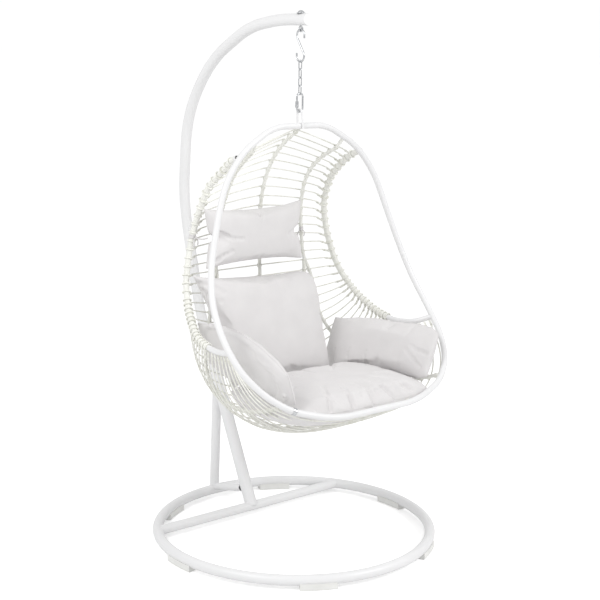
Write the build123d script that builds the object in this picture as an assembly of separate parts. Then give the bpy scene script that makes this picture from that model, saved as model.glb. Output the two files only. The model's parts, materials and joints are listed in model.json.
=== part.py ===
"""Hanging egg chair: a ring stand with a curved arm, hanging hardware, and a corded basket with cushions."""
import math
import os

from build123d import *

os.makedirs("parts", exist_ok=True)

# The design frame has its origin on the floor at the base ring's centre, with -Y the front.
# Everything is exported moved by SHIFT_Y, which puts the origin under the middle of the whole chair.
SHIFT_Y = -103.0

# Stand
RING_RADIUS = 506
RING_TUBE = 19
RING_Z = 31
BAR_TUBE = 18
BAR_Y = 261
LEG_TUBE = 23.5
LEG_BORE = 20.6
ARM_TUBE = 20.5
POST_TUBE = 18.5
STRUT_TUBE = 14
WALL = 1.5
WELD = 0.03
ARM_Z = 1883
ARM_TIP_Y = -40
LEG_PATH = [(260.3, 31), (554.7, 640)]
ARM_PATH = [(516, 560), (605, 744), (696, 1098), (714, 1218), (690, 1517), (535, 1728), (294, 1856), (116, ARM_Z),
            (ARM_TIP_Y, ARM_Z)]
POST_PATH = [(506.9, 31), (486.6, 500)]
STRUT_PATH = [(504, 43), (325, 87)]
PAD_ARC = 14.2
PAD_WIDTH = 42
PAD_TOP = 24
JOINT_BOLT_Z = (583, 617)

# Hanging hardware, wire radii and heights of wire centres
EYE_WIRE = 3
EYE_RADIUS = 8
EYE_LOW = 1842.5
HOOK_WIRE = 3.25
HOOK_RADIUS = 20
HOOK_LOW = 1738.3
LINK_WIRE = 2
LINK_RADIUS = 6
LINK_LENGTH = 33
QUICK_WIRE = 3.2
QUICK_RADIUS = 13
QUICK_LENGTH = 65
LOOP_WIRE = 4
LOOP_RADIUS = 13
REST = 0.3

# Basket, right half: (distance from the middle plane, y, z)
HOOP_TUBE = 11
HOOP = [(0, -5, 1517), (120, -5, 1517), (260, -14, 1438), (342, -24, 1334), (392, -44, 1194), (437, -74, 1054),
        (462, -117, 946), (474, -194, 841), (465, -276, 752), (422, -345, 681), (344, -398, 624), (190, -443, 584),
        (0, -443, 584)]
RIM_TUBE = 10
RIM_WRAP = 11
RIM_WRAP_END = 880
RIM = [(284, -13, 1419), (276, 32, 1403), (271, 85, 1363), (282, 155, 1306), (291, 205, 1207), (319, 216, 1091),
       (353, 195, 963), (385, 131, 868), (417, 33, 795), (421, -76, 774), (429, -170, 786), (471, -223, 811)]
KEEL = [(0, -8, 1517), (0, 60, 1486), (0, 130, 1432), (0, 188, 1355), (0, 222, 1265), (0, 240, 1150), (0, 236, 1040),
        (0, 228, 940), (0, 225, 840), (0, 220, 740), (0, 208, 640), (0, 172, 550), (0, 100, 475), (0, 10, 440),
        (0, -90, 432), (0, -200, 455), (0, -300, 498), (0, -380, 537), (0, -443, 575)]
RIB_ROD = 5
RIB_WRAP = 6.75
STRANDS = 43
STRAND = 2.5
STRAND_LOOP = 2.8
RIB_GAP = 1.2


def wire_of(points, share=0.45):
    """Straight runs joined by tangent arcs, each as large as the shorter run beside it allows."""
    corners = [Vector(*p) for p in points]
    edges = []
    start = corners[0]
    for a, b, c in zip(corners, corners[1:], corners[2:]):
        reach = share * min((b - a).length, (c - b).length)
        leave = b + (a - b).normalized() * reach
        join = b + (c - b).normalized() * reach
        edges.append(Edge.make_line(start, leave))
        edges.append(Edge.make_tangent_arc(leave, b - a, join))
        start = join
    edges.append(Edge.make_line(start, corners[-1]))
    return Wire(edges)


def rod(path, radius):
    return sweep(Plane(path @ 0, z_dir=path % 0) * Circle(radius), path=path)


def pipe(path, radius, bore):
    return rod(path, radius) - rod(path, bore)


def mirrored(shape):
    return mirror(shape, about=Plane.YZ)


def in_arm_plane(points):
    return [(0, y, z) for y, z in points]


def solid(shape):
    """The single solid of a boolean's result."""
    found = shape.solids()
    if len(found) != 1:
        raise ValueError(f"{len(found)} solids where one was expected")
    return found[0]


def save(name, *shapes):
    moved = [Pos(0, SHIFT_Y, 0) * s for s in shapes]
    for shape, body in enumerate(moved, 1):
        body.label = f"{name}_{shape}"
    export_step(moved[0] if len(moved) == 1 else Compound(children=moved), f"parts/{name}.step")


# ---------------------------------------------------------------- stand

def ring_solid(radius):
    return Pos(0, 0, RING_Z) * Torus(RING_RADIUS, radius)


def drain(x, y, z):
    return Pos(x, y, z) * Cylinder(3, 12)


def stand():
    ring_tool = ring_solid(RING_TUBE + WELD)
    bar_tool = Pos(0, BAR_Y, RING_Z) * Rot(0, 90, 0) * Cylinder(BAR_TUBE + WELD, 900)
    leg_path = wire_of(in_arm_plane(LEG_PATH))
    leg_tool = rod(leg_path, LEG_TUBE + WELD)
    post_path = wire_of(in_arm_plane(POST_PATH))

    # One bent tube whose two ends butt together under the rear post.
    ring = revolve(Plane.XZ * (Pos(RING_RADIUS, RING_Z) * (Circle(RING_TUBE) - Circle(RING_TUBE - WALL))), Axis.Z, 359.99)
    ring = Rot(0, 0, 91) * ring
    for angle in range(0, 360, 60):
        ring -= Rot(0, 0, angle) * Pos(RING_RADIUS, 0, RING_Z - RING_TUBE) * Cylinder(2, 6)
    ring -= drain(0, -RING_RADIUS, RING_Z - RING_TUBE)
    save("base_ring", solid(ring))

    half = math.sqrt(RING_RADIUS ** 2 - BAR_Y ** 2)
    bar = Pos(0, BAR_Y, RING_Z) * Rot(0, 90, 0) * (Cylinder(BAR_TUBE, 2 * half) - Cylinder(BAR_TUBE - WALL, 2 * half))
    bar -= ring_tool
    for side in (-1, 1):
        bar -= drain(side * 300, BAR_Y, RING_Z - BAR_TUBE)
    save("cross_bar", solid(bar))

    bolts = [Pos(0, arm_y(z), z) * Rot(0, 90, 0) for z in JOINT_BOLT_Z]
    leg = pipe(leg_path, LEG_TUBE, LEG_BORE) - bar_tool
    for place in bolts:
        leg -= place * Cylinder(4.2, 60)
    save("lower_leg", solid(leg))

    arm_path = wire_of(in_arm_plane(ARM_PATH))
    arm = pipe(arm_path, ARM_TUBE, ARM_TUBE - WALL)
    for place in bolts:
        arm -= place * Cylinder(4.2, 60)
    arm -= Pos(0, 0, ARM_Z) * Cylinder(4.2, 60)
    save("upper_arm", solid(arm))

    post = pipe(post_path, POST_TUBE, POST_TUBE - WALL) - ring_tool - leg_tool
    post -= Pos(0, 505.5 + POST_TUBE, 70) * Rot(90, 0, 0) * Cylinder(3, 12)
    save("rear_post", solid(post))

    strut_path = wire_of(in_arm_plane(STRUT_PATH))
    strut = pipe(strut_path, STRUT_TUBE, STRUT_TUBE - WALL) - ring_tool - leg_tool - rod(post_path, POST_TUBE + WELD)
    strut -= drain(0, 415, 65 - STRUT_TUBE)
    save("foot_strut", solid(strut))

    cap = Cylinder(ARM_TUBE, 3, align=(Align.CENTER, Align.CENTER, Align.MIN))
    plug = Cylinder(ARM_TUBE - WALL - 0.05, 16, align=(Align.CENTER, Align.CENTER, Align.MAX))
    hollow = Cylinder(ARM_TUBE - WALL - 2, 16, align=(Align.CENTER, Align.CENTER, Align.MAX))
    cap = chamfer(cap.edges().group_by(Axis.Z)[-1], 0.8) + (plug - hollow)
    save("arm_end_cap", solid(Pos(0, ARM_TIP_Y - WELD, ARM_Z) * Rot(90, 0, 0) * cap))

    screws = []
    nuts = []
    for place in bolts:
        shank = Pos(0, 0, 2) * Cylinder(4, 62)
        dome = Pos(0, 0, -LEG_TUBE - 0.1) * Rot(180, 0, 0) * button_head(8, 4.4)
        screws.append(solid(place * (shank + dome)))
        nut = extrude(RegularPolygon(7.4, 6), 6.5) - Pos(0, 0, 3) * Cylinder(4.05, 20)
        nuts.append(solid(place * Pos(0, 0, LEG_TUBE + 0.1) * nut))
    save("arm_joint_bolts", *screws)
    save("arm_joint_nuts", *nuts)

    for number, angle in enumerate(range(0, 360, 60), 1):
        save(f"foot_pad_{number}", Rot(0, 0, angle) * foot_pad())
    save("foot_pad_screws", *[Rot(0, 0, angle) * pad_screw() for angle in range(0, 360, 60)])


def arm_y(z):
    """Middle of the straight joint between leg and arm at a height."""
    (y0, z0), (y1, z1) = LEG_PATH
    return y0 + (y1 - y0) * (z - z0) / (z1 - z0)


def button_head(radius, height):
    ball = (radius ** 2 + height ** 2) / (2 * height)
    cap = Pos(0, 0, height - ball) * Sphere(ball)
    return cap & Cylinder(radius, height, align=(Align.CENTER, Align.CENTER, Align.MIN))


def foot_pad():
    """Saddle under the ring, with a countersunk hole for its screw."""
    outline = Pos(RING_RADIUS, PAD_TOP / 2) * Rectangle(PAD_WIDTH, PAD_TOP)
    outline -= Pos(RING_RADIUS, RING_Z) * Circle(RING_TUBE + 0.05)
    outline = fillet(outline.vertices().group_by(Axis.Y)[0], 3)
    block = revolve(Plane.XZ * outline, Axis.Z, PAD_ARC)
    block = Rot(0, 0, -PAD_ARC / 2) * block
    block -= Pos(RING_RADIUS, 0, 0) * Cylinder(2.2, 60)
    block -= Pos(RING_RADIUS, 0, 0) * Cylinder(5, 12)
    return solid(block)


def pad_screw():
    shank = Pos(RING_RADIUS, 0, 2) * Cylinder(1.95, 16, align=(Align.CENTER, Align.CENTER, Align.MIN))
    head = Pos(RING_RADIUS, 0, 6) * Rot(180, 0, 0) * button_head(4.2, 2.6)
    return solid(shank + head)


# ---------------------------------------------------------------- hanging hardware

def oval(top, bottom, radius, wire, upright):
    """Closed link standing in the XZ plane, or in the YZ plane when upright is Plane.YZ."""
    high = top - radius
    low = bottom + radius
    path = Wire([
        Edge.make_line((radius, low), (radius, high)),
        Edge.make_three_point_arc((radius, high), (0, top), (-radius, high)),
        Edge.make_line((-radius, high), (-radius, low)),
        Edge.make_three_point_arc((-radius, low), (0, bottom), (radius, low)),
    ])
    return solid(rod(upright * path, wire))


def hardware():
    eye = Pos(0, 0, EYE_LOW + EYE_RADIUS) * Rot(90, 0, 0) * Torus(EYE_RADIUS, EYE_WIRE)
    foot = EYE_LOW + 2 * EYE_RADIUS
    top = ARM_Z + ARM_TUBE
    eye += Pos(0, 0, foot) * Cylinder(4, top + 5 - foot, align=(Align.CENTER, Align.CENTER, Align.MIN))
    save("eye_bolt", solid(eye))
    save("arm_washer", Pos(0, 0, top + 0.05 + 1) * (Cylinder(16, 2) - Cylinder(4.3, 2)))
    dome = button_head(13, 9) - Pos(0, 0, 0) * Cylinder(4.05, 2 * 4.5)
    save("dome_nut", solid(Pos(0, 0, top + 2.1) * dome))

    high = EYE_LOW + EYE_WIRE + HOOK_WIRE + REST - HOOK_RADIUS
    low = HOOK_LOW + HOOK_RADIUS
    lean = math.asin(2 * HOOK_RADIUS / (high - low))

    def at(height, angle):
        return (HOOK_RADIUS * math.cos(angle), height + HOOK_RADIUS * math.sin(angle))

    hook = Wire([
        Edge.make_line((-HOOK_RADIUS, high - 10), at(high, math.pi)),
        Edge.make_three_point_arc(at(high, math.pi), at(high, math.pi / 2), at(high, -lean)),
        Edge.make_line(at(high, -lean), at(low, math.pi - lean)),
        Edge.make_three_point_arc(at(low, math.pi - lean), at(low, 1.5 * math.pi), at(low, 0)),
        Edge.make_line(at(low, 0), (HOOK_RADIUS, low + 10)),
    ])
    save("s_hook", solid(rod(Plane.YZ * hook, HOOK_WIRE)))

    top = HOOK_LOW + HOOK_WIRE + LINK_WIRE + REST
    for number in range(1, 5):
        plane = Plane.XZ if number % 2 else Plane.YZ
        save(f"chain_link_{number}", oval(top, top - LINK_LENGTH, LINK_RADIUS, LINK_WIRE, plane))
        top += 2 * LINK_WIRE + REST - LINK_LENGTH

    top += QUICK_WIRE - LINK_WIRE
    low = top - QUICK_LENGTH
    middle = low + 26
    quick = oval(top, low, QUICK_RADIUS, QUICK_WIRE, Plane.XZ)
    gap = Pos(-QUICK_RADIUS, 0, middle) * Cylinder(QUICK_WIRE + 1, 9)
    save("quick_link", solid(quick - gap))
    sleeve = extrude(RegularPolygon(6.6, 6), 11, both=True) - Cylinder(QUICK_WIRE + 0.05, 30)
    save("quick_link_sleeve", solid(Pos(-QUICK_RADIUS, 0, middle) * sleeve))

    crown = low + QUICK_WIRE + LOOP_WIRE + REST
    turn = crown - LOOP_RADIUS
    hoop_y, hoop_z = HOOP[0][1:]
    reach = HOOP_TUBE + LOOP_WIRE + WELD
    loop = wire_of([(0, hoop_y - reach, hoop_z - 10), (0, hoop_y - reach, hoop_z), (0, -LOOP_RADIUS, turn),
                    (0, -LOOP_RADIUS, crown), (0, LOOP_RADIUS, crown), (0, LOOP_RADIUS, turn),
                    (0, hoop_y + reach, hoop_z + 2)], 0.49)
    save("hang_loop", solid(rod(loop, LOOP_WIRE) - hoop_solid(HOOP_TUBE + WELD)))


# ---------------------------------------------------------------- basket frame

def hoop_solid(radius):
    half = rod(wire_of(HOOP), radius)
    return half + mirrored(half)


def along(wire, distance):
    """Point and direction at a distance along a wire, in mm."""
    return (wire.position_at(distance, position_mode=PositionMode.LENGTH),
            wire.tangent_at(distance, position_mode=PositionMode.LENGTH))


KEEL_WIRE = wire_of(KEEL)
RIM_WIRE = wire_of(RIM)


def keel_step(index):
    """Distance along the keel of a strand: an even pitch down the back, then slightly wider under the seat."""
    if index <= 16:
        return 34 + 37.5 * index
    return 634 + (index - 16) * (KEEL_WIRE.length - 34 - 634) / (STRANDS - 1 - 16)


def rim_step(index):
    """Distance along the rim: a wide pitch down the sides, then close together over the arms."""
    return 45 + 31 * min(index, 19) + 18.7 * max(index - 19, 0)


def shell(index, width):
    """Point of the basket's surface on a strand's line, at a distance from the middle plane.

    Each strand is half a superellipse between its rim point and the keel.
    """
    keel = along(KEEL_WIRE, keel_step(index))[0]
    rim = along(RIM_WIRE, rim_step(index))[0]
    power = 1.08 + 1.6 * (max(index, 0) / (STRANDS - 1)) ** 1.1
    depth = max(1 - (width / rim.X) ** power, 0) ** (1 / power)
    root = Vector(0, rim.Y, rim.Z)
    return root + Vector(width, 0, 0) + (keel - root) * depth


def under_shell(index, width, depth):
    """Point at a depth inside the basket's surface."""
    here = shell(index, width)
    across = shell(index, width + 4) - shell(index, max(width - 4, 0))
    down = shell(index + 0.2, width) - shell(index - 0.2, width)
    normal = across.cross(down).normalized()
    inward = Vector(0, -80, 950) - here
    if normal.dot(inward) < 0:
        normal = normal * -1
    if width == 0:
        normal = Vector(0, normal.Y, normal.Z).normalized()
    return here + normal * depth


def strand(index):
    """One cord from rim to rim, its ends looped round the wrapped rim or butting the bare part of it."""
    distance = rim_step(index)
    rim, direction = along(RIM_WIRE, distance)
    looped = distance < RIM_WRAP_END
    power = 1.08 + 1.6 * (index / (STRANDS - 1)) ** 1.1
    steps = 8
    half = [shell(index, rim.X * math.cos(math.pi / 2 * k / steps) ** (2 / power)) for k in range(1, steps)]
    half = [p for p in half if (p - rim).length > 30]
    outward = half[0] - rim
    outward = (outward - direction * outward.dot(direction)).normalized()
    ring = RIM_WRAP + STRAND_LOOP + 0.15
    if looped:
        end = rim + outward * ring
    else:
        end = rim + (half[0] - rim).normalized() * (RIM_TUBE + 1.5)
    side = [end] + half
    points = side + [shell(index, 0)] + [Vector(-p.X, p.Y, p.Z) for p in reversed(side)]
    cord = rod(wire_of([tuple(p) for p in points]), STRAND)
    if looped:
        turn = Plane(rim, z_dir=direction) * Torus(ring, STRAND_LOOP)
        cord = cord + turn + mirrored(turn)
    return solid(cord)


RIB_DEPTH = STRAND + RIB_WRAP + RIB_GAP
SIDE_LINE = [(0, 196), (1, 189), (2.5, 182), (4.5, 178), (6.5, 177), (9, 184), (11.5, 193), (14, 200), (15.6, 206),
             (17.2, 233), (19.5, 250), (21.7, 262), (23.7, 290), (25.7, 318), (28, 336), (30.6, 342), (33.5, 346),
             (36.5, 351), (39.5, 357)]
SEAT_LINE = [(17.4, 206), (19.5, 203), (22, 201), (24.5, 198), (27, 195), (29.5, 193), (32, 191), (35, 188),
             (38, 185), (40.2, 182), (41.9, 181)]
CENTRE_LINE = [0, 1, 3, 5, 7, 9, 11.5, 14, 16.5, 19, 21, 23, 25, 27, 29, 31, 33.5, 36, 38.5, 40.4, 41.9]


def rib_points(line):
    return [tuple(under_shell(i, w, RIB_DEPTH)) for i, w in line]


def basket_frame():
    half = rod(wire_of(HOOP), HOOP_TUBE) - rod(wire_of(HOOP), HOOP_TUBE - WALL)
    hoop = half + mirrored(half) - drain(0, HOOP[-1][1], HOOP[-1][2] - HOOP_TUBE)
    save("front_hoop", solid(hoop))
    hoop_tool = hoop_solid(HOOP_TUBE + WELD)
    wrap_tool = hoop_solid(HOOP_TUBE + 1)

    rim = pipe(RIM_WIRE, RIM_TUBE, RIM_TUBE - WALL) - hoop_tool
    rim -= Pos(421, -76, 774 - RIM_TUBE) * Cylinder(2, 8)
    rim = solid(rim)
    save("right_rim", rim)
    save("left_rim", mirrored(rim))
    wrapped = RIM_WIRE.trim(0, RIM_WRAP_END / RIM_WIRE.length)
    wrap = solid(pipe(wrapped, RIM_WRAP, RIM_TUBE + 0.05) - wrap_tool)
    save("rim_wraps", wrap, mirrored(wrap))

    middle = [HOOP[0]] + rib_points([(i, 0) for i in CENTRE_LINE]) + [HOOP[-1]]
    middle = wire_of(middle)
    side = wire_of([(200, -11, 1472)] + rib_points(SIDE_LINE) + [(365, -384, 639)])
    side_start = along(side, 0)[0]
    fork = under_shell(15.6, 206, RIB_DEPTH)
    low = tuple(under_shell(41.9, 181, RIB_DEPTH + 2.6))
    seat = wire_of([tuple(fork)] + rib_points(SEAT_LINE[:-1]) + [low, (180, -443, 584)])
    centre_rib = solid(rod(middle, RIB_ROD) - hoop_tool)
    side_rib = solid(rod(side, RIB_ROD) - hoop_tool)
    seat_rib = solid(rod(seat, RIB_ROD) - hoop_tool - rod(side, RIB_WRAP + WELD))
    save("centre_rib", centre_rib)
    save("right_side_rib", side_rib)
    save("left_side_rib", mirrored(side_rib))
    save("right_seat_rib", seat_rib)
    save("left_seat_rib", mirrored(seat_rib))

    centre_wrap = solid(pipe(middle, RIB_WRAP, RIB_ROD + 0.05) - wrap_tool)
    side_wrap = solid(pipe(side, RIB_WRAP, RIB_ROD + 0.05) - wrap_tool)
    seat_wrap = solid(pipe(seat, RIB_WRAP, RIB_ROD + 0.05) - wrap_tool - rod(side, RIB_WRAP + 0.3))
    save("rib_wraps", centre_wrap, side_wrap, mirrored(side_wrap), seat_wrap, mirrored(seat_wrap))


def cords():
    groups = {"crown_cords": range(0, 8), "back_cords": range(8, 20), "bowl_cords": range(20, 32),
              "seat_cords": range(32, STRANDS)}
    for name, indexes in groups.items():
        save(name, *[strand(i) for i in indexes])


# ---------------------------------------------------------------- cushions

def puffed(plane, corners, depth, corner, swell=(0.7, 0.9, 1.0, 0.9, 0.7)):
    """Stuffed pad: one rounded outline lofted through the thickness, widest in the middle."""
    outline = Polygon(*corners, align=None)
    outline = fillet(outline.vertices(), corner)
    middle = outline.center()
    outline = Pos(-middle.X, -middle.Y, 0) * outline
    sections = []
    for number, share in enumerate(swell):
        level = depth * (number / (len(swell) - 1) - 0.5)
        face = Pos(middle.X, middle.Y, 0) * scale(outline, by=share)
        sections.append(plane.offset(level) * face)
    return solid(loft(sections))


def bent_pad(stations):
    """Stuffed pad bent along its length: (centre, heading, lean, thickness, height) at each station."""
    sections = []
    for centre, heading, lean, thick, tall in stations:
        direction = Vector(math.cos(math.radians(heading)), math.sin(math.radians(heading)), 0)
        plane = Plane(centre, x_dir=Vector(-direction.Y, direction.X, 0), z_dir=direction)
        sections.append(plane * Rot(0, 0, lean) * Ellipse(thick / 2, tall / 2))
    return solid(loft(sections))


CLIP_DISTANCE = 1302


def ties():
    """Cords that hold the cushions: each a ring round a rib or the rim with a short tail to the cushion."""
    rib = under_shell(12.5, 196, RIB_DEPTH)
    rib_line = under_shell(13, 197, RIB_DEPTH) - under_shell(12, 195, RIB_DEPTH)
    rim, rim_line = along(RIM_WIRE, (rim_step(11) + rim_step(12)) / 2)
    right = tie(rib, rib_line, RIB_WRAP + 3.6, Vector(136, 150, 1124))
    left = tie(Vector(-rim.X, rim.Y, rim.Z), Vector(-rim_line.X, rim_line.Y, rim_line.Z), RIM_WRAP + 2.2,
               Vector(-292, 150, 1124))
    save("pillow_ties", right, left)
    hoop_wire = wire_of(HOOP)
    spot, line = along(hoop_wire, CLIP_DISTANCE)
    spot = Vector(-spot.X, spot.Y, spot.Z)
    line = Vector(-line.X, line.Y, line.Z)
    clip = Plane(spot, z_dir=line) * (Cylinder(HOOP_TUBE + 2, 12) - Cylinder(HOOP_TUBE + 0.1, 12))
    save("cushion_clip", solid(clip))


def tie(centre, direction, radius, target):
    direction = direction.normalized()
    towards = target - centre
    towards = (towards - direction * towards.dot(direction)).normalized()
    ring = Plane(centre, z_dir=direction) * Torus(radius, 1.8)
    tail = Wire([Edge.make_line(centre + towards * radius, target)])
    return solid(ring + rod(tail, 1.6))


def cushions():
    seat_levels = [(476, -58, 140, 80, 36), (498, -74, 250, 140, 65), (530, -116, 420, 236, 110),
                   (562, -158, 586, 356, 160), (586, -188, 660, 426, 175), (604, -190, 646, 430, 170),
                   (622, -188, 550, 390, 150), (640, -180, 380, 270, 110)]
    seat = [Pos(0, y, z) * RectangleRounded(width, depth, corner) for z, y, width, depth, corner in seat_levels]
    save("seat_cushion", solid(loft(seat, ruled=True)))
    back = Plane((0, 107, 792), x_dir=(1, 0, 0), z_dir=(0, -0.97, 0.243))
    save("back_cushion", puffed(back, [(-228, -186), (208, -190), (208, 168), (-334, 198)], 114, 48))
    head = Plane((-78, 148, 1120), x_dir=(1, 0, 0), z_dir=(0, -1, 0.05))
    half_width, half_height = 212, 108
    save("head_pillow", puffed(head, [(-half_width, -half_height), (half_width, -half_height),
                                      (half_width, half_height), (-half_width, half_height)], 95, 30))
    right = [
        ((275, 133, 676), -76, -18, 28, 80),
        ((281, 110, 679), -76, -18, 66, 160),
        ((298, 40, 692), -77, -19, 90, 186),
        ((316, -45, 708), -80, -20, 96, 180),
        ((333, -140, 713), -86, -20, 98, 178),
        ((343, -240, 717), -93, -20, 92, 172),
        ((342, -325, 723), -98, -20, 72, 144),
        ((338, -362, 726), -100, -20, 30, 66),
    ]
    save("right_arm_cushion", bent_pad(right))
    left = [
        ((322, 112, 752), -78, -20, 24, 90),
        ((322, 92, 750), -78, -20, 64, 150),
        ((322, 20, 738), -80, -20, 92, 196),
        ((324, -60, 732), -84, -20, 100, 208),
        ((332, -150, 728), -88, -20, 102, 204),
        ((340, -240, 716), -95, -20, 94, 180),
        ((336, -315, 702), -100, -20, 70, 136),
        ((330, -352, 694), -102, -20, 30, 60),
    ]
    save("left_arm_cushion", mirrored(bent_pad(left)))


stand()
hardware()
basket_frame()
cords()
cushions()
ties()
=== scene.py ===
import json
import math
import bpy
import numpy as np
from mathutils import Matrix, Vector


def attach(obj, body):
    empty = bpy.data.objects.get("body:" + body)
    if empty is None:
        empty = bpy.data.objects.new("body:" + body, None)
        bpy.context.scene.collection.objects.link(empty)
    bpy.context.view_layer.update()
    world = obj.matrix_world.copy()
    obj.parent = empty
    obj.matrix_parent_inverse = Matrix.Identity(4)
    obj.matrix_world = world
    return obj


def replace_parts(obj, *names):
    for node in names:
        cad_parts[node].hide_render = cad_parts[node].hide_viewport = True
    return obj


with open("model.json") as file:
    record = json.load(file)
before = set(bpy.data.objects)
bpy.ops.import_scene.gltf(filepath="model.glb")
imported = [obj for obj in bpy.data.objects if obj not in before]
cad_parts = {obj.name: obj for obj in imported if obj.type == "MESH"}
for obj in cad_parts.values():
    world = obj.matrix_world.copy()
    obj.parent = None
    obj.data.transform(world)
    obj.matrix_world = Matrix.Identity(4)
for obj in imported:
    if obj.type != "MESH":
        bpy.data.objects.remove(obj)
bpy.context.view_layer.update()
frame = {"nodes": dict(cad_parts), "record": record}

NODES = frame["nodes"]
scene = bpy.context.scene

# Design-frame figures in mm, as in the CAD source. In the row frame every point lies 103 mm further towards -Y.
SHIFT_Y = -103.0
RIM_TUBE, RIM_WRAP, RIB_WRAP, STRAND = 10.0, 11.0, 6.75, 2.5  # radii
RIM_WRAP_END, STRANDS = 880.0, 43
KEEL_START, KEEL_PITCH, KEEL_EVEN = 34, 37.5, 16  # strands 0 to 16 are evenly spaced down the back
RIM_START, RIM_PITCH, RIM_CLOSE_PITCH, RIM_EVEN = 45, 31, 18.7, 19
HOOP = [(0, -5, 1517), (120, -5, 1517), (260, -14, 1438), (342, -24, 1334), (392, -44, 1194), (437, -74, 1054),
        (462, -117, 946), (474, -194, 841), (465, -276, 752), (422, -345, 681), (344, -398, 624), (190, -443, 584),
        (0, -443, 584)]
RIM = [(284, -13, 1419), (276, 32, 1403), (271, 85, 1363), (282, 155, 1306), (291, 205, 1207), (319, 216, 1091),
       (353, 195, 963), (385, 131, 868), (417, 33, 795), (421, -76, 774), (429, -170, 786), (471, -223, 811)]
KEEL = [(0, -8, 1517), (0, 60, 1486), (0, 130, 1432), (0, 188, 1355), (0, 222, 1265), (0, 240, 1150), (0, 236, 1040),
        (0, 228, 940), (0, 225, 840), (0, 220, 740), (0, 208, 640), (0, 172, 550), (0, 100, 475), (0, 10, 440),
        (0, -90, 432), (0, -200, 455), (0, -300, 498), (0, -380, 537), (0, -443, 575)]
RIB_DEPTH = STRAND + RIB_WRAP + 1.2
SIDE_LINE = [(0, 196), (1, 189), (2.5, 182), (4.5, 178), (6.5, 177), (9, 184), (11.5, 193), (14, 200), (15.6, 206),
             (17.2, 233), (19.5, 250), (21.7, 262), (23.7, 290), (25.7, 318), (28, 336), (30.6, 342), (33.5, 346),
             (36.5, 351), (39.5, 357)]
SEAT_LINE = [(17.4, 206), (19.5, 203), (22, 201), (24.5, 198), (27, 195), (29.5, 193), (32, 191), (35, 188),
             (38, 185), (40.2, 182), (41.9, 181)]
CENTRE_LINE = [0, 1, 3, 5, 7, 9, 11.5, 14, 16.5, 19, 21, 23, 25, 27, 29, 31, 33.5, 36, 38.5, 40.4, 41.9]


def unit(v):
    return v / np.linalg.norm(v)


def to_row(points):
    """Design frame in mm to row frame in metres."""
    return (points + np.array([0, SHIFT_Y, 0])) / 1000


def to_design(points):
    """Row frame in metres to design frame in mm."""
    return points * 1000 - np.array([0, SHIFT_Y, 0])


class Line:
    """Straight runs joined by tangent arcs, read by distance along it in mm."""

    def __init__(self, corners, share=0.45, steps=7):
        P = np.array(corners, float)
        out = [P[0]]
        for a, b, c in zip(P, P[1:], P[2:]):
            reach = share * min(np.linalg.norm(b - a), np.linalg.norm(c - b))
            u, w = unit(a - b), unit(c - b)
            half = math.acos(np.clip(u @ w, -1, 1)) / 2
            radius = reach * math.tan(half)
            centre = b + unit(u + w) * reach / math.cos(half)
            p, q = (b + u * reach - centre) / radius, (b + w * reach - centre) / radius
            turn = math.acos(np.clip(p @ q, -1, 1))
            for t in np.linspace(0, 1, steps):
                arc = math.sin((1 - t) * turn) * p + math.sin(t * turn) * q
                out.append(centre + radius * arc / math.sin(turn))
        out.append(P[-1])
        self.points = np.array(out)
        self.at_mm = np.r_[0, np.cumsum(np.linalg.norm(np.diff(self.points, axis=0), axis=1))]
        self.length = self.at_mm[-1]

    def at(self, s):
        return np.stack([np.interp(s, self.at_mm, self.points[:, k]) for k in range(3)], -1)

    def along(self, s, d=3.0):
        return unit(self.at(min(s + d, self.length)) - self.at(max(s - d, 0)))


hoop, rim, keel = Line(HOOP), Line(RIM), Line(KEEL)


def keel_step(i):
    """Distance along the keel where strand i crosses it."""
    if i <= KEEL_EVEN:
        return KEEL_START + KEEL_PITCH * i
    even_end = KEEL_START + KEEL_PITCH * KEEL_EVEN
    return even_end + (i - KEEL_EVEN) * (keel.length - KEEL_START - even_end) / (STRANDS - 1 - KEEL_EVEN)


def rim_step(i):
    """Distance along the rim where strand i ends."""
    return RIM_START + RIM_PITCH * min(i, RIM_EVEN) + RIM_CLOSE_PITCH * max(i - RIM_EVEN, 0)


def roundness(i):
    """Exponent of strand i's curve: nearly straight sides at the crown, fuller towards the seat."""
    return 1.08 + 1.6 * (max(i, 0) / (STRANDS - 1)) ** 1.1


def shell(i, width):
    """Point of the basket's surface on strand i at a distance from the middle plane."""
    k, r = keel.at(keel_step(i)), rim.at(rim_step(i))
    power = roundness(i)
    depth = max(1 - (width / r[0]) ** power, 0) ** (1 / power)
    root = np.array([0, r[1], r[2]])
    return root + np.array([width, 0, 0]) + (k - root) * depth


def shell_normal(i, width):
    """Direction from the basket's surface into the basket."""
    across = shell(i, width + 4) - shell(i, max(width - 4, 0))
    down = shell(i + 0.2, width) - shell(i - 0.2, width)
    normal = unit(np.cross(across, down))
    if normal @ (np.array([0, -80, 950]) - shell(i, width)) < 0:
        normal = -normal
    if width == 0:
        normal = unit(np.array([0, normal[1], normal[2]]))
    return normal


def under_shell(i, width, depth):
    return shell(i, width) + shell_normal(i, width) * depth


def strand_points(i):
    power = roundness(i)
    r, direction = rim.at(rim_step(i)), rim.along(rim_step(i))
    half = [shell(i, r[0] * math.cos(math.pi / 2 * k / 8) ** (2 / power)) for k in range(1, 8)]
    half = [p for p in half if np.linalg.norm(p - r) > 30]
    outward = half[0] - r
    outward = unit(outward - direction * (outward @ direction))
    if rim_step(i) < RIM_WRAP_END:
        end = r + outward * (RIM_WRAP + 2.95)
    else:
        end = r + unit(half[0] - r) * (RIM_TUBE + 1.5)
    side = [end] + half
    flip = np.array([-1, 1, 1])
    return side + [shell(i, 0)] + [p * flip for p in reversed(side)]


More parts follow.
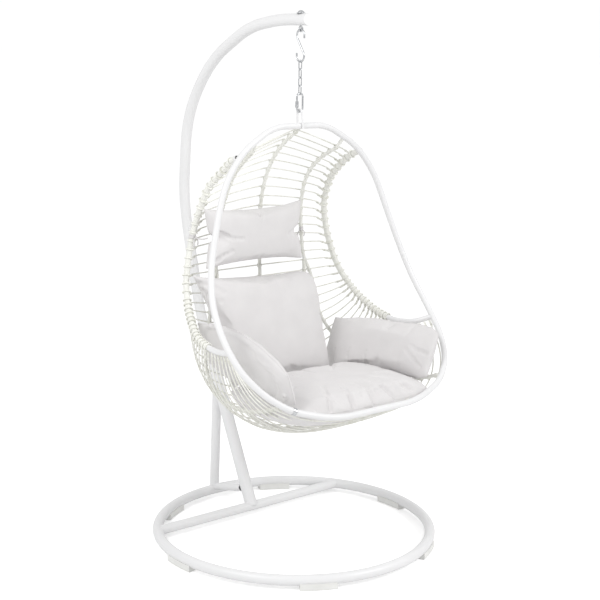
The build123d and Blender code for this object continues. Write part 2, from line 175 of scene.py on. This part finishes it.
strands = [Line(strand_points(i)) for i in range(STRANDS)]
centre_rib = Line([HOOP[0]] + [under_shell(i, 0, RIB_DEPTH) for i in CENTRE_LINE] + [HOOP[-1]])
side_rib = Line([(200, -11, 1472)] + [under_shell(i, w, RIB_DEPTH) for i, w in SIDE_LINE]
                + [(365, -384, 639)])
seat_rib = Line([under_shell(15.6, 206, RIB_DEPTH)]
                + [under_shell(i, w, RIB_DEPTH + 2.6 * (i > 41)) for i, w in SEAT_LINE]
                + [(180, -443, 584)])


# ------------------------------------------------------------------ mesh building

class Mesh:
    """Gathers vertices in mm in the design frame, then makes one object in metres in the row frame."""

    def __init__(self):
        self.verts, self.faces, self.count = [], [], 0

    def add(self, verts, faces):
        self.verts.append(np.array(verts, float).reshape(-1, 3))
        self.faces += [tuple(int(k) + self.count for k in f) for f in faces]
        self.count += len(self.verts[-1])

    def mirror(self):
        """A copy of everything so far on the other side of the middle plane."""
        V = np.concatenate(self.verts) * np.array([-1, 1, 1])
        n, faces = self.count, list(self.faces)
        self.verts.append(V)
        self.faces += [tuple(k + n for k in reversed(f)) for f in faces]
        self.count += len(V)

    def object(self, name, material, body, smooth=True):
        V = to_row(np.concatenate(self.verts))
        data = bpy.data.meshes.new(name)
        data.from_pydata([tuple(v) for v in V], [], self.faces)
        data.update()
        if smooth:
            data.polygons.foreach_set("use_smooth", [True] * len(data.polygons))
        obj = bpy.data.objects.new(name, data)
        scene.collection.objects.link(obj)
        obj.data.materials.append(material)
        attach(obj, body)
        return obj


def frames_along(P, closed=False):
    """Directions forwards, sideways and upwards, carried along a run of points without twist."""
    n = len(P)
    T = np.array([unit(P[(k + 1) % n if closed else min(k + 1, n - 1)] - P[k - 1 if closed else max(k - 1, 0)])
                  for k in range(n)])
    side = unit(np.cross(T[0], [0.13, 0.31, 0.94]))
    S = [side]
    for k in range(1, n):
        side = unit(side - T[k] * (side @ T[k]))
        S.append(side)
    S = np.array(S)
    return T, S, np.cross(T, S)


def tube(mesh, P, radius, sides=10, closed=False, caps=True):
    P = np.array(P, float)
    T, S, U = frames_along(P, closed)
    R = np.broadcast_to(np.array(radius, float), (len(P),))
    ang = np.linspace(0, 2 * np.pi, sides, endpoint=False)
    out = np.cos(ang)[None, :, None] * S[:, None] + np.sin(ang)[None, :, None] * U[:, None]
    V = P[:, None] + R[:, None, None] * out
    F = []
    rings = len(P)
    for k in range(rings if closed else rings - 1):
        a, b = k * sides, ((k + 1) % rings) * sides
        F += [(a + j, a + (j + 1) % sides, b + (j + 1) % sides, b + j) for j in range(sides)]
    if caps and not closed:
        F.append(tuple(reversed(range(sides))))
        F.append(tuple(range((rings - 1) * sides, rings * sides)))
    mesh.add(V, F)


STRIP_SIDES = 6
RIM_STRIP = {"radius": 10.55, "pitch": 4.6, "width": 5.2, "thick": 1.5, "per_turn": 14, "wobble": 0.12}
RIB_STRIP = {"radius": 6.1, "pitch": 4.2, "width": 4.8, "thick": 1.5, "per_turn": 10, "wobble": 0.12}
TIE_STRIP = {"pitch": 4.6, "width": 5.2, "thick": 1.6, "per_turn": 16, "wobble": 0.2}


def winding(mesh, line, start, end, radius, pitch, width, thick, per_turn, wobble, seed):
    """A flat strip wound round a line, its section a flattened oval."""
    rng = np.random.default_rng(seed)
    turns = max(1, round((end - start) / pitch))
    n = turns * per_turn + 1
    s = np.linspace(start, end, n)
    P = line.at(s)
    T, S, U = frames_along(P)
    phi = np.linspace(0, 2 * np.pi * turns, n)
    turn_starts = np.arange(0, n, per_turn)
    lift = np.interp(np.arange(n), turn_starts, rng.normal(0, wobble, len(turn_starts)))
    out = np.cos(phi)[:, None] * S + np.sin(phi)[:, None] * U
    C = P + out * (radius + lift)[:, None]
    ang = np.linspace(0, 2 * np.pi, STRIP_SIDES, endpoint=False)
    V = (C[:, None] + np.cos(ang)[None, :, None] * T[:, None] * width / 2
         + np.sin(ang)[None, :, None] * out[:, None] * thick / 2)
    F = []
    for k in range(n - 1):
        a, b = k * STRIP_SIDES, (k + 1) * STRIP_SIDES
        for j in range(STRIP_SIDES):
            after = (j + 1) % STRIP_SIDES
            F.append((a + j, a + after, b + after, b + j))
    F += [tuple(reversed(range(STRIP_SIDES))), tuple(range((n - 1) * STRIP_SIDES, n * STRIP_SIDES))]
    mesh.add(V, F)


def ring(mesh, centre, axis, radius, thick, sides, steps, squash=None):
    """A closed loop of round cord; squash = (direction, amount) draws it out to one side."""
    axis = unit(np.array(axis, float))
    a = unit(np.cross(axis, [0.2, 0.3, 0.93]))
    b = np.cross(axis, a)
    t = np.linspace(0, 2 * np.pi, steps, endpoint=False)
    P = centre + radius * (np.cos(t)[:, None] * a + np.sin(t)[:, None] * b)
    if squash is not None:
        direction, amount = squash
        reach = (P - centre) @ direction
        P = P + direction * np.clip(reach, 0, None)[:, None] * amount
    tube(mesh, P, thick, sides, closed=True)


# ------------------------------------------------------------------ materials

def material(name, colour, rough, metallic=0.0, coat=0.0, sheen=0.0, spec=0.5):
    m = bpy.data.materials.new(name)
    m.use_nodes = True
    b = m.node_tree.nodes["Principled BSDF"]
    b.inputs["Base Color"].default_value = (*colour, 1)
    b.inputs["Roughness"].default_value = rough
    b.inputs["Metallic"].default_value = metallic
    b.inputs["Coat Weight"].default_value = coat
    b.inputs["Sheen Weight"].default_value = sheen
    b.inputs["Specular IOR Level"].default_value = spec
    return m, m.node_tree, b


def node(tree, kind, **values):
    n = tree.nodes.new(kind)
    for key, value in values.items():
        if key in n.inputs:
            n.inputs[key].default_value = value
        else:
            setattr(n, key, value)
    return n


def noise(tree, scale, detail=3.0, stretch=None):
    coords = tree.nodes.new("ShaderNodeTexCoord")
    n = node(tree, "ShaderNodeTexNoise", Scale=scale, Detail=detail)
    if stretch:
        m = tree.nodes.new("ShaderNodeMapping")
        m.inputs["Scale"].default_value = stretch
        tree.links.new(coords.outputs["Object"], m.inputs["Vector"])
        tree.links.new(m.outputs["Vector"], n.inputs["Vector"])
    else:
        tree.links.new(coords.outputs["Object"], n.inputs["Vector"])
    return n.outputs["Fac"]


def ramp(tree, fac, stops):
    r = tree.nodes.new("ShaderNodeValToRGB")
    tree.links.new(fac, r.inputs["Fac"])
    els = r.color_ramp.elements
    while len(els) < len(stops):
        els.new(0.5)
    for e, (pos, col) in zip(els, stops):
        e.position = pos
        e.color = (*col, 1)
    return r.outputs["Color"]


def bump(tree, bsdf, heights, distance):
    last = None
    for fac, strength in heights:
        n = tree.nodes.new("ShaderNodeBump")
        n.inputs["Strength"].default_value = strength
        n.inputs["Distance"].default_value = distance
        tree.links.new(fac, n.inputs["Height"])
        if last:
            tree.links.new(last, n.inputs["Normal"])
        last = n.outputs["Normal"]
    tree.links.new(last, bsdf.inputs["Normal"])


def spread(tree, fac, socket, low, high):
    """Feeds a socket with a factor from 0 to 1, mapped to low to high."""
    r = tree.nodes.new("ShaderNodeMapRange")
    r.inputs["To Min"].default_value, r.inputs["To Max"].default_value = low, high
    tree.links.new(fac, r.inputs["Value"])
    tree.links.new(r.outputs["Result"], socket)


def powder_coat():
    m, t, b = material("white_powder_coat", (0.86, 0.86, 0.86), 0.38, coat=0.15)
    b.inputs["Coat Roughness"].default_value = 0.25
    fine, broad = noise(t, 900, 2.0), noise(t, 3.0, 4.0)
    t.links.new(ramp(t, broad, [(0.3, (0.785, 0.785, 0.79)), (0.7, (0.815, 0.815, 0.82))]), b.inputs["Base Color"])
    spread(t, broad, b.inputs["Roughness"], 0.33, 0.45)
    bump(t, b, [(fine, 0.10)], 0.0006)
    return m


def zinc():
    m, t, b = material("bright_zinc", (0.62, 0.63, 0.64), 0.22, metallic=1.0)
    cloud, fine = noise(t, 160, 3.0), noise(t, 1500, 2.0)
    t.links.new(ramp(t, cloud, [(0.3, (0.5, 0.51, 0.53)), (0.7, (0.72, 0.73, 0.74))]), b.inputs["Base Color"])
    spread(t, cloud, b.inputs["Roughness"], 0.16, 0.36)
    bump(t, b, [(fine, 0.08)], 0.0003)
    return m


def rattan(name, light, dark, rough=0.5):
    m, t, b = material(name, light, rough, spec=0.4)
    island = t.nodes.new("ShaderNodeNewGeometry").outputs["Random Per Island"]
    streak, fine = noise(t, 60, 4.0), noise(t, 700, 3.0)
    mix = t.nodes.new("ShaderNodeMath")
    mix.operation = "MULTIPLY_ADD"
    mix.inputs[1].default_value = 0.35
    t.links.new(island, mix.inputs[0])
    t.links.new(streak, mix.inputs[2])
    t.links.new(ramp(t, mix.outputs[0], [(0.3, dark), (0.7, light)]), b.inputs["Base Color"])
    bump(t, b, [(streak, 0.15), (fine, 0.25)], 0.0006)
    return m


def woven(name, light, dark):
    m, t, b = material(name, light, 0.9, sheen=0.25, spec=0.25)
    b.inputs["Sheen Roughness"].default_value = 0.5
    coords = t.nodes.new("ShaderNodeTexCoord")
    heights = []
    for axis in ("X", "Y", "Z"):
        w = node(t, "ShaderNodeTexWave", Scale=330.0, Distortion=1.2, Detail=1.0)
        w.wave_type, w.bands_direction = "BANDS", axis
        t.links.new(coords.outputs["Object"], w.inputs["Vector"])
        heights.append((w.outputs["Fac"], 0.12))
    broad, fuzz = noise(t, 14, 4.0), noise(t, 900, 2.0)
    slub = noise(t, 120, 3.0, (1.0, 1.0, 9.0))
    t.links.new(ramp(t, broad, [(0.3, dark), (0.7, light)]), b.inputs["Base Color"])
    bump(t, b, heights + [(fuzz, 0.10), (slub, 0.08)], 0.0005)
    return m


def rubber():
    m, t, b = material("foot_rubber", (0.8, 0.8, 0.78), 0.7)
    fine = noise(t, 400, 3.0)
    t.links.new(ramp(t, noise(t, 20), [(0.3, (0.76, 0.76, 0.74)), (0.7, (0.83, 0.83, 0.81))]), b.inputs["Base Color"])
    bump(t, b, [(fine, 0.15)], 0.0005)
    return m


def plastic():
    m, t, b = material("white_plastic", (0.9, 0.9, 0.9), 0.32)
    t.links.new(ramp(t, noise(t, 30), [(0.3, (0.88, 0.88, 0.88)), (0.7, (0.93, 0.93, 0.93))]), b.inputs["Base Color"])
    bump(t, b, [(noise(t, 600, 2.0), 0.05)], 0.0004)
    return m


MAT = {
    "white_powder_coat": powder_coat(),
    "bright_zinc": zinc(),
    "rattan_cord": rattan("rattan_cord", (0.86, 0.86, 0.81), (0.70, 0.70, 0.62)),
    "rattan_wrap": rattan("rattan_wrap", (0.87, 0.87, 0.83), (0.76, 0.76, 0.69)),
    "cushion_fabric": woven("cushion_fabric", (0.735, 0.72, 0.72), (0.70, 0.685, 0.685)),
    "foot_rubber": rubber(),
    "white_plastic": plastic(),
}
slot_of = {s["node"]: s["material_slot"] for s in frame["record"]["subparts"]}
for name, obj in NODES.items():
    mat = MAT[slot_of[name]]
    if obj.data.materials:
        for k in range(len(obj.data.materials)):
            obj.material_slots[k].material = mat
    else:
        obj.data.materials.append(mat)

# ------------------------------------------------------------------ rattan work

RIM_CORE, RIB_CORE = 10.3, 5.9  # radii of the plain tube under each winding
wraps = Mesh()
winding(wraps, rim, 11, RIM_WRAP_END, **RIM_STRIP, seed=3)
tube(wraps, rim.at(np.linspace(12, RIM_WRAP_END, 120)), RIM_CORE, 14)
wraps.mirror()
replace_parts(wraps.object("rim_windings", MAT["rattan_wrap"], "basket"), "rim_wraps")

wraps = Mesh()
for line, start, end, seed in ((side_rib, 10, side_rib.length - 12, 5), (seat_rib, 9, seat_rib.length - 12, 6)):
    winding(wraps, line, start, end, **RIB_STRIP, seed=seed)
    tube(wraps, line.at(np.linspace(start, end, 160)), RIB_CORE, 10)
wraps.mirror()
winding(wraps, centre_rib, 12, centre_rib.length - 12, **RIB_STRIP, seed=4)
tube(wraps, centre_rib.at(np.linspace(12, centre_rib.length - 12, 180)), RIB_CORE, 10)
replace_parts(wraps.object("rib_windings", MAT["rattan_wrap"], "basket"), "rib_wraps")


def nearest(line, point):
    d = np.linalg.norm(line.points - point, axis=1)
    k = int(d.argmin())
    lo, hi = line.at_mm[max(k - 1, 0)], line.at_mm[min(k + 1, len(line.at_mm) - 1)]
    s = np.linspace(lo, hi, 60)
    e = np.linalg.norm(line.at(s) - point, axis=1)
    return s[int(e.argmin())], e.min()


def crossing(line, strand):
    """Where a strand passes a rib: distance along each and the gap."""
    best = min(((nearest(strand, p), p) for p in line.points[::2]), key=lambda x: x[0][1])
    s_strand = best[0][0]
    for _ in range(3):
        s_line, _gap = nearest(line, strand.at(s_strand))
        s_strand, gap = nearest(strand, line.at(s_line))
    return s_line, s_strand, gap


knots = Mesh()
middle = Mesh()
for line, target in ((side_rib, knots), (seat_rib, knots), (centre_rib, middle)):
    for strand in strands:
        s_line, s_strand, gap = crossing(line, strand)
        if gap > 14 or s_line < 14 or s_line > line.length - 15:
            continue
        rib_at, strand_at = line.at(s_line), strand.at(s_strand)
        out = unit(strand_at - rib_at)
        along = line.along(s_line)
        cross = strand.along(s_strand)
        for shift, lean in ((-3.6, 0.35), (3.6, -0.35)):
            ring(target, rib_at + along * shift, along + cross * lean, RIB_WRAP + 0.9, 1.3, 7, 18, (out, 0.28))
        P = [strand_at + cross * a + out * (1.6 - 0.08 * a * a) for a in np.linspace(-7, 7, 9)]
        tube(target, P, [0.8, 1.3, 1.6, 1.8, 1.9, 1.8, 1.6, 1.3, 0.8], 7)
knots.mirror()
middle.verts += knots.verts
middle.faces += [tuple(k + middle.count for k in f) for f in knots.faces]
middle.count += knots.count
middle.object("rattan_knots", MAT["rattan_wrap"], "basket")

tails = Mesh()
for i, strand in enumerate(strands):
    s = rim_step(i)
    direction = rim.along(s)
    looped = s < RIM_WRAP_END
    first = 0.0 if looped else 1.0
    n = 12
    t = np.linspace(0, 1, n)
    run = strand.at(first + t * 30)
    offset = np.where(t < 0.75, 4.0, 4.0 - 8 * (t - 0.75))
    P = run + direction * offset[:, None]
    tube(tails, P, np.r_[np.full(n - 2, 1.9), 1.5, 0.8], 8)
    for d in (16.0, 18.4, 20.8):
        q = strand.at(d)
        ring(tails, q + direction * 1.4, strand.along(d), 3.2, 0.9, 6, 14, (direction, 0.5))
tails.mirror()
tails.object("rattan_tails", MAT["rattan_cord"], "basket")

# ------------------------------------------------------------------ cushions


def cushion_mesh(name, surface, thickness, nu, nv, power):
    """Two panels sewn at their edge: surface(u, v) gives a point and an outward direction in mm."""
    p, q = power
    us, vs = np.linspace(-1, 1, nu + 1), np.linspace(-1, 1, nv + 1)
    index, verts = {}, []

    def put(key, co):
        index[key] = len(verts)
        verts.append(co)

    for a, u in enumerate(us):
        for b, v in enumerate(vs):
            point, out = surface(u, v)
            full = ((1 - abs(u) ** p) * (1 - abs(v) ** p)) ** q if 0 < a < nu and 0 < b < nv else 0
            if full == 0:
                put((a, b, 0), point)
                index[(a, b, 1)] = index[(a, b, 0)]
            else:
                put((a, b, 0), point + out * thickness * full / 2)
                put((a, b, 1), point - out * thickness * full / 2)
    faces = []
    for a in range(nu):
        for b in range(nv):
            corners = [(a, b), (a + 1, b), (a + 1, b + 1), (a, b + 1)]
            faces.append([index[(x, y, 0)] for x, y in corners])
            faces.append([index[(x, y, 1)] for x, y in reversed(corners)])
    V = to_row(np.array(verts))
    data = bpy.data.meshes.new(name)
    data.from_pydata([tuple(v) for v in V], [], [tuple(dict.fromkeys(f)) for f in faces])
    data.update()
    obj = bpy.data.objects.new(name, data)
    scene.collection.objects.link(obj)
    edge = [index[(a, 0, 0)] for a in range(nu)] + [index[(nu, b, 0)] for b in range(nv)]
    edge += [index[(a, nv, 0)] for a in range(nu, 0, -1)] + [index[(0, b, 0)] for b in range(nv, 0, -1)]
    return obj, edge


SWELL_FRAMES = 20


def inflate(obj, pressure, cap):
    """Swells the pad with the cloth solver, keeps each point within cap mm of where it began, and leaves a plain mesh."""
    start = np.array([v.co for v in obj.data.vertices])
    cloth = obj.modifiers.new("cloth", "CLOTH")
    s = cloth.settings
    s.quality = 6
    s.mass = 0.25
    s.tension_stiffness = s.compression_stiffness = s.shear_stiffness = 18
    s.bending_stiffness = 0.4
    s.tension_damping = s.compression_damping = s.shear_damping = 8
    s.air_damping = 2
    s.use_pressure = True
    s.uniform_pressure_force = pressure
    s.shrink_min = -0.02
    s.effector_weights.gravity = 0
    cloth.collision_settings.use_collision = False
    cloth.point_cache.frame_start, cloth.point_cache.frame_end = 1, 24
    for f in range(1, SWELL_FRAMES + 1):
        scene.frame_set(f)
    depsgraph = bpy.context.evaluated_depsgraph_get()
    done = obj.evaluated_get(depsgraph).to_mesh()
    now = np.array([v.co for v in done.vertices])
    obj.evaluated_get(depsgraph).to_mesh_clear()
    obj.modifiers.remove(cloth)
    scene.frame_set(1)
    move = now - start
    far = np.linalg.norm(move, axis=1, keepdims=True)
    move *= np.minimum(1, cap / 1000 / np.maximum(far, 1e-9))
    obj.data.vertices.foreach_set("co", (start + move).ravel())
    obj.data.update()


def crease(obj, runs, depth, width):
    """Presses soft grooves into the surface along runs of three points given in mm in the design frame."""
    data = obj.data
    V = to_design(np.array([v.co for v in data.vertices]))
    N = np.array([v.normal for v in data.vertices])
    sink = np.zeros(len(V))
    for run in runs:
        marks = np.array(run, float)
        first, second = (marks[:-1] + marks[1:]) / 2
        marks = np.array([marks[0], first, marks[1], second, marks[2]])
        P = np.array([V[np.argmin(np.linalg.norm(V - mark, axis=1))] for mark in marks])
        for a, b, fade in zip(P, P[1:], np.linspace(1, 0.35, len(P) - 1)):
            d = b - a
            t = np.clip(((V - a) @ d) / max(d @ d, 1e-6), 0, 1)
            gap = np.linalg.norm(V - (a + t[:, None] * d), axis=1)
            groove = fade * np.exp(-(gap / width) ** 2)
            lip = 0.28 * np.exp(-((gap - 2.1 * width) / width) ** 2)
            sink = np.maximum(sink, groove - lip)
    V = to_row(V - N * (sink * depth)[:, None])
    data.vertices.foreach_set("co", V.ravel())
    data.update()


def subdivide(obj):
    m = obj.modifiers.new("round", "SUBSURF")
    m.levels = m.render_levels = 1
    depsgraph = bpy.context.evaluated_depsgraph_get()
    new = bpy.data.meshes.new_from_object(obj.evaluated_get(depsgraph))
    obj.modifiers.remove(m)
    obj.data = new


SEAM_RADIUS = 1.5


def finish_cushion(obj, edge, node_name):
    obj.data.polygons.foreach_set("use_smooth", [True] * len(obj.data.polygons))
    obj.data.materials.clear()
    obj.data.materials.append(MAT["cushion_fabric"])
    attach(obj, "basket")
    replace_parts(obj, node_name)
    P = to_design(np.array([obj.data.vertices[k].co for k in edge]))
    welt = Mesh()
    tube(welt, P, SEAM_RADIUS, 6, closed=True)
    w = welt.object(obj.name + "_seam", MAT["cushion_fabric"], "basket")
    w.parent = obj
    w.matrix_parent_inverse = obj.matrix_world.inverted()


def build(name, node_name, surface, thickness, nu, nv, pressure, cap, creases, groove, power=(2.6, 0.55)):
    obj, edge = cushion_mesh(name, surface, thickness, nu, nv, power)
    inflate(obj, pressure, cap)
    subdivide(obj)
    crease(obj, creases, *groove)
    finish_cushion(obj, edge, node_name)


def flat_pad(centre, right, up, width, height, pull, round_off, bow, pinch):
    centre, right, up = np.array(centre, float), unit(np.array(right, float)), unit(np.array(up, float))
    out = unit(np.cross(right, up))

    def surface(u, v):
        x = u * (1 - pull[0] * (1 - v * v)) * math.sqrt(1 - round_off * v * v / 2)
        y = v * (1 - pull[1] * (1 - u * u)) * math.sqrt(1 - round_off * u * u / 2)
        x -= math.copysign(pinch, u) * abs(u) ** 6 * math.exp(-(v / 0.16) ** 2)
        point = centre + right * x * width / 2 + up * y * height / 2 - out * bow * (u * u)
        return point, out
    return surface


def leaning_pad(corners, bow, pull=0.03):
    """The back cushion's outline: four corners on its leaning plane, sides pulled in between them."""
    origin, right = np.array([0.0, 107, 792]), np.array([1.0, 0, 0])
    up, out = np.array([0, 0.243, 0.97]), np.array([0, -0.97, 0.243])
    low_left, low_right, top_right, top_left = (np.array(c, float) for c in corners)

    def surface(u, v):
        x, y = u * (1 - pull * (1 - v * v)), v * (1 - pull * (1 - u * u))
        x, y = (x + 1) / 2, (y + 1) / 2
        flat = (low_left * (1 - x) + low_right * x) * (1 - y) + (top_left * (1 - x) + top_right * x) * y
        if u > 0 and v > 0:
            flat = flat - np.array([26, 26]) * (u * v) ** 5
        return origin + right * flat[0] + up * flat[1] - out * bow * u * u, out
    return surface


build("head_pillow_soft", "head_pillow", flat_pad((-78, 148, 1120), (1, 0, 0), (0, 0.05, 1), 442, 236,
      (0.03, 0.10), 0.02, 6, 0.10), 80, 68, 36, 3.2, 14,
      [[(-289, 106, 1122), (-240, 98, 1124), (-170, 94, 1117)], [(132, 108, 1132), (90, 98, 1127), (40, 94, 1118)],
       [(-80, 113, 1218), (-82, 103, 1202), (-85, 98, 1182)], [(-280, 108, 1040), (-250, 102, 1060), (-215, 97, 1075)]],
      groove=(9, 9))
build("back_cushion_soft", "back_cushion", leaning_pad([(-240, -214), (222, -220), (216, 186), (-347, 214)], 8),
      104, 84, 56, 3.2, 16,
      [[(-320, 150, 968), (-290, 120, 950), (-250, 100, 930)],
       [(-325, 150, 930), (-300, 125, 915), (-265, 105, 900)]],
      groove=(7, 12))


def seat_surface(u, v):
    k = 0.55
    x = u * math.sqrt(1 - k * v * v / 2)
    y = v * math.sqrt(1 - k * u * u / 2)
    radius = math.hypot(x, y)
    return np.array([352 * x, -190 + 232 * y, 578 + 14 * radius ** 2]), unit(np.array([-0.1 * x, -0.1 * y, 1.0]))


seat_creases = [[(-75, -402, 592), (-62, -350, 622), (-40, -285, 636)], [(20, -405, 592), (24, -350, 622), (18, -290, 636)],
                [(120, -395, 595), (100, -340, 622), (70, -275, 636)], [(215, -375, 598), (180, -320, 620), (130, -260, 634)],
                [(-170, -385, 598), (-140, -330, 622), (-100, -270, 636)], [(300, -290, 600), (250, -255, 618), (180, -225, 634)],
                [(-300, -270, 600), (-250, -240, 618), (-180, -210, 634)], [(0, 20, 610), (0, -40, 630), (0, -100, 640)],
                [(-150, 5, 606), (-110, -60, 628), (-70, -110, 640)], [(170, 5, 606), (125, -60, 628), (80, -110, 640)]]
build("seat_cushion_soft", "seat_cushion", seat_surface, 96, 92, 66, 3.0, 15, seat_creases, groove=(11, 10),
      power=(3.0, 0.5))


def arm_surface(side, stations):
    """An upright pad bent along its length: x, y, z and height in mm at each station."""
    S = np.array(stations, float)
    length = np.r_[0, np.cumsum(np.linalg.norm(np.diff(S[:, :3], axis=0), axis=1))]
    lean = math.radians(19)
    up, out = np.array([math.sin(lean), 0, math.cos(lean)]), np.array([-math.cos(lean), 0, math.sin(lean)])
    flip = np.array([side, 1, 1])

    def surface(u, v):
        s = length[-1] * (u + 1) / 2
        x, y, z, tall = (np.interp(s, length, S[:, k]) for k in range(4))
        point = np.array([x, y, z]) + up * v * tall / 2 * (1 - 0.04 * (1 - u * u))
        return point * flip, out * flip
    return surface


build("right_arm_cushion_soft", "right_arm_cushion", arm_surface(1, [
    (276, 142, 664, 216), (298, 40, 680, 226), (316, -45, 692, 226), (333, -140, 698, 224), (343, -240, 704, 218),
    (340, -318, 709, 196), (334, -364, 712, 158)]), 78, 76, 34, 3.0, 14,
    [[(262, 70, 604), (258, 66, 630), (256, 62, 655)], [(270, 0, 622), (262, -4, 645), (258, -8, 672)],
     [(282, -80, 628), (274, -84, 652), (270, -88, 678)], [(300, -330, 665), (288, -300, 695), (284, -262, 722)],
     [(305, -350, 720), (292, -318, 728), (288, -280, 742)]], groove=(6, 9))
build("left_arm_cushion_soft", "left_arm_cushion", arm_surface(-1, [
    (322, 120, 754, 160), (318, 20, 740, 210), (318, -60, 735, 222), (322, -150, 731, 220), (328, -240, 719, 200),
    (328, -320, 702, 160), (324, -368, 688, 104)]), 96, 72, 34, 3.0, 14,
    [[(-352, 40, 832), (-315, 36, 835), (-285, 32, 805)], [(-354, 10, 834), (-318, 6, 838), (-284, 2, 800)],
     [(-356, -22, 834), (-320, -26, 838), (-286, -30, 800)], [(-320, -340, 660), (-302, -320, 690), (-292, -295, 720)],
     [(-330, -345, 670), (-305, -330, 710), (-290, -300, 745)]], groove=(7, 8))

# ------------------------------------------------------------------ ties


def fabric_tie(mesh, line, s, radius, target):
    """A strip wound three times round a rib or the rim, knotted, with its end running to the pillow and a bow hanging."""
    centre, direction = line.at(s), line.along(s)
    winding(mesh, line, s - 7, s + 7, radius, **TIE_STRIP, seed=8)
    towards = unit(target - centre - direction * ((target - centre) @ direction))
    start = centre + towards * (radius + 1.5)
    t = np.linspace(0, 1, 14)[:, None]
    sag = np.array([0, 0, -5.0]) * (4 * t * (1 - t))
    tube(mesh, start * (1 - t) + target * t + sag, np.linspace(2.4, 2.9, 14), 8)
    knot = start + towards * 3
    ring(mesh, knot, towards, 3.4, 1.9, 8, 16)
    ring(mesh, knot + towards * 3, towards + direction * 0.4, 3.0, 1.7, 8, 16)
    for side, drop in ((1, 34), (-1, 26)):
        a = np.linspace(0, 1, 10)[:, None]
        out = np.cross(direction, towards) * side
        bow = knot + out * (13 * np.sin(a * 2.2)) - np.array([0, 0, 1.0]) * drop * a ** 1.5
        tube(mesh, bow, np.linspace(1.9, 2.3, 10), 7)


left_rim = Line([(-x, y, z) for x, y, z in RIM])
ties = Mesh()
rib_s, _gap = nearest(side_rib, under_shell(12.5, 196, RIB_DEPTH))
fabric_tie(ties, side_rib, rib_s, RIB_WRAP + 1.8, np.array([136, 148, 1124]))
fabric_tie(ties, left_rim, (rim_step(11) + rim_step(12)) / 2, RIM_WRAP + 1.2, np.array([-291, 148, 1124]))
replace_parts(ties.object("pillow_ties_soft", MAT["cushion_fabric"], "basket"), "pillow_ties")

# ------------------------------------------------------------------ stage

floor = bpy.data.meshes.new("floor")
floor.from_pydata([(-90, -90, 0), (90, -90, 0), (90, 90, 0), (-90, 90, 0)], [], [(0, 1, 2, 3)])
floor = bpy.data.objects.new("floor", floor)
scene.collection.objects.link(floor)
fm, ft, fb = material("floor", (0.9, 0.9, 0.9), 0.9)
fb.inputs["Emission Color"].default_value = (1, 1, 1, 1)
seen = ft.nodes.new("ShaderNodeLightPath").outputs["Is Camera Ray"]
glow = ft.nodes.new("ShaderNodeMath")
glow.operation = "MULTIPLY"
glow.inputs[1].default_value = 0.34
ft.links.new(seen, glow.inputs[0])
ft.links.new(glow.outputs[0], fb.inputs["Emission Strength"])
floor.data.materials.append(fm)

world = bpy.data.worlds.new("studio")
scene.world = world
world.use_nodes = True
wt = world.node_tree
background = wt.nodes["Background"]
background.inputs["Color"].default_value = (1, 1, 1, 1)
camera_ray = wt.nodes.new("ShaderNodeLightPath").outputs["Is Camera Ray"]
spread(wt, camera_ray, background.inputs["Strength"], 0.77, 1.02)
scene.view_settings.view_transform = "Standard"


def area_light(name, place, aim, size, power):
    light = bpy.data.lights.new(name, "AREA")
    light.shape, light.size, light.energy = "DISK", size, power
    o = bpy.data.objects.new(name, light)
    o.location = place
    o.rotation_euler = (Vector(aim) - Vector(place)).to_track_quat("-Z", "Y").to_euler()
    scene.collection.objects.link(o)


area_light("key", (2.2, -4.4, 3.9), (0, 0, 0.9), 2.2, 95)
area_light("fill", (-3.4, -0.6, 3.6), (0, 0, 0.9), 2.4, 60)

camera = bpy.data.cameras.new("camera")
SENSOR, FOCAL, FRAME_WIDTH = 36, 1324.52, 600  # sensor in mm; focal length and frame width in one unit
camera.sensor_width = SENSOR
camera.lens = FOCAL / FRAME_WIDTH * SENSOR
camera.clip_end = 100
cam = bpy.data.objects.new("camera", camera)
scene.collection.objects.link(cam)
yaw, pitch, roll = math.radians(-39.73), math.radians(11.5), math.radians(0.82)
forward = Vector((-math.sin(yaw) * math.cos(pitch), math.cos(yaw) * math.cos(pitch), -math.sin(pitch)))
right = forward.cross(Vector((0, 0, 1))).normalized()
up = right.cross(forward)
right, up = math.cos(roll) * right + math.sin(roll) * up, -math.sin(roll) * right + math.cos(roll) * up
m = Matrix((right, up, -forward)).transposed().to_4x4()
m.translation = Vector((-2.9886, -3.6127 + SHIFT_Y / 1000, 1.8453))
cam.matrix_world = m
scene.camera = cam
